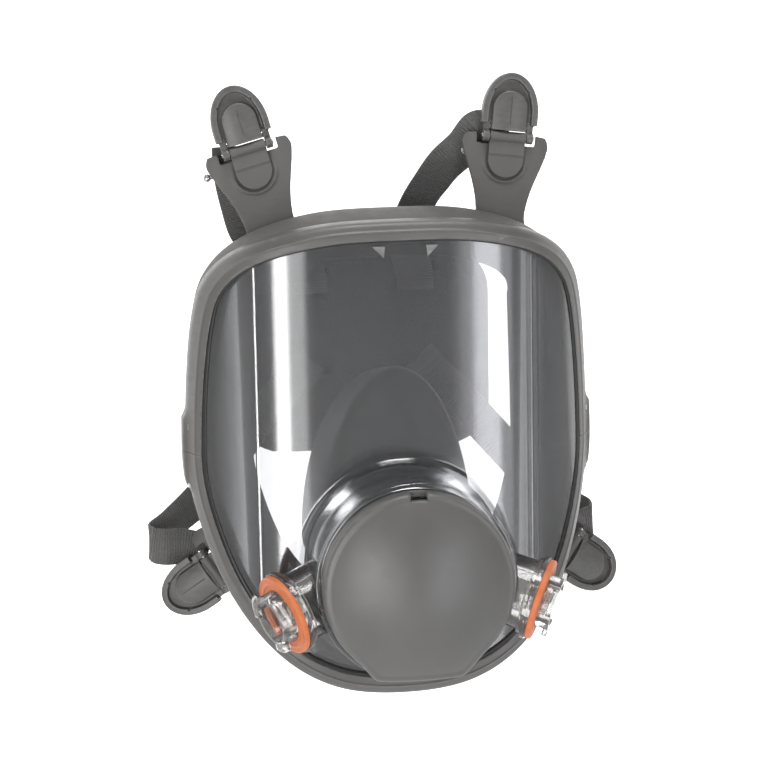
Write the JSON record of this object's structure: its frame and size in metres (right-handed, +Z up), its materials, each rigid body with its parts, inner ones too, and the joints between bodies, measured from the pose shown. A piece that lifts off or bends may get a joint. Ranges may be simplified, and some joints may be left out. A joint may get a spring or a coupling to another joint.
{
  "type": "full face respirator",
  "caption": "Full face respirator: clear wrap visor in a two-part frame, rubber face seal and nose cup, two bayonet filter ports, push-fit exhalation cover and a four-strap harness.",
  "frame": {"origin": "centre of the face opening, in the plane of the face seal's rearmost edge", "axes": "+Z up, the mask looks along -Y and the wearer's face is on +Y, +X to the right of someone facing the mask"},
  "size_m": [0.2301, 0.1783, 0.2807],
  "materials": {
    "clear_visor": "clear, hard-coated, polished",
    "clear_fitting": "clear, moulded",
    "orange_gasket": "matt silicone",
    "frame_plastic": "fine moulded texture",
    "cover_plastic": "fine moulded texture",
    "grey_plastic": "satin moulded",
    "dark_plastic": "satin moulded",
    "steel": "bright drawn wire",
    "webbing": "ribbed elastic webbing",
    "valve_rubber": "translucent silicone",
    "cup_rubber": "matt silicone",
    "dark_rubber": "matt",
    "seal_rubber": "matt silicone"
  },
  "bodies": {
    "mask": {"visor": "clear_visor", "upper_frame": "frame_plastic", "lower_frame": "frame_plastic", "frame_screws": "steel", "frame_nuts": "steel", "face_seal": "seal_rubber", "upper_left_ear": "seal_rubber", "upper_right_ear": "seal_rubber", "lower_left_ear": "seal_rubber", "lower_right_ear": "seal_rubber", "left_port": "clear_fitting", "right_port": "clear_fitting", "left_port_gasket": "orange_gasket", "right_port_gasket": "orange_gasket", "centre_adapter": "grey_plastic", "adapter_gasket": "dark_rubber", "adapter_nut": "dark_plastic", "valve_seat": "grey_plastic", "nose_cup": "cup_rubber", "left_check_seat": "grey_plastic", "right_check_seat": "grey_plastic", "upper_left_tongue": "seal_rubber", "upper_right_tongue": "seal_rubber", "lower_left_tongue": "seal_rubber", "lower_right_tongue": "seal_rubber", "upper_left_wire": "steel", "upper_right_wire": "steel", "lower_left_wire": "steel", "lower_right_wire": "steel", "upper_left_strap": "webbing", "upper_right_strap": "webbing", "lower_left_strap": "webbing", "lower_right_strap": "webbing", "crown_pad": "dark_plastic"},
    "cover": {"centre_cover": "cover_plastic"},
    "exhalation_flap": {"exhalation_flap": "valve_rubber"},
    "left_inhalation_flap": {"left_inhalation_flap": "valve_rubber"},
    "right_inhalation_flap": {"right_inhalation_flap": "valve_rubber"},
    "left_check_flap": {"left_check_flap": "valve_rubber"},
    "right_check_flap": {"right_check_flap": "valve_rubber"},
    "upper_left_lever": {"upper_left_lever": "grey_plastic"},
    "upper_right_lever": {"upper_right_lever": "grey_plastic"},
    "lower_left_lever": {"lower_left_lever": "grey_plastic"},
    "lower_right_lever": {"lower_right_lever": "grey_plastic"}
  },
  "joints": [
    {"name": "upper_left_lever_hinge", "type": "hinge", "parent": "mask", "child": "upper_left_lever", "pos_m": [-0.06199, -0.02333, 0.13915], "axis": [0.9659, 0, 0.2588], "range_deg": [0, 70]},
    {"name": "upper_right_lever_hinge", "type": "hinge", "parent": "mask", "child": "upper_right_lever", "pos_m": [0.06013, -0.02333, 0.14029], "axis": [0.9925, 0, -0.1219], "range_deg": [0, 70]},
    {"name": "lower_left_lever_hinge", "type": "hinge", "parent": "mask", "child": "lower_left_lever", "pos_m": [-0.08191, -0.00845, -0.06528], "axis": [-0.559, 0.1816, 0.809], "range_deg": [0, 70]},
    {"name": "lower_right_lever_hinge", "type": "hinge", "parent": "mask", "child": "lower_right_lever", "pos_m": [0.09191, -0.00845, -0.06528], "axis": [-0.559, -0.1816, -0.809], "range_deg": [0, 70]},
    {"name": "cover_pull", "type": "slide", "parent": "mask", "child": "cover", "axis": [0, -1, 0], "range_m": [0, 0.03]},
    {"name": "exhalation_lift", "type": "slide", "parent": "mask", "child": "exhalation_flap", "axis": [0, -1, 0], "range_m": [0, 0.0012], "stiffness_N_per_m": 20},
    {"name": "left_inhalation_lift", "type": "slide", "parent": "mask", "child": "left_inhalation_flap", "axis": [0.8843, 0.3573, 0.3007], "range_m": [0, 0.001], "stiffness_N_per_m": 20},
    {"name": "right_inhalation_lift", "type": "slide", "parent": "mask", "child": "right_inhalation_flap", "axis": [-0.8843, 0.3573, 0.3007], "range_m": [0, 0.001], "stiffness_N_per_m": 20},
    {"name": "left_check_lift", "type": "slide", "parent": "mask", "child": "left_check_flap", "axis": [1, 0, 0], "range_m": [0, 0.001], "stiffness_N_per_m": 20},
    {"name": "right_check_lift", "type": "slide", "parent": "mask", "child": "right_check_flap", "axis": [-1, 0, 0], "range_m": [0, 0.001], "stiffness_N_per_m": 20}
  ]
}
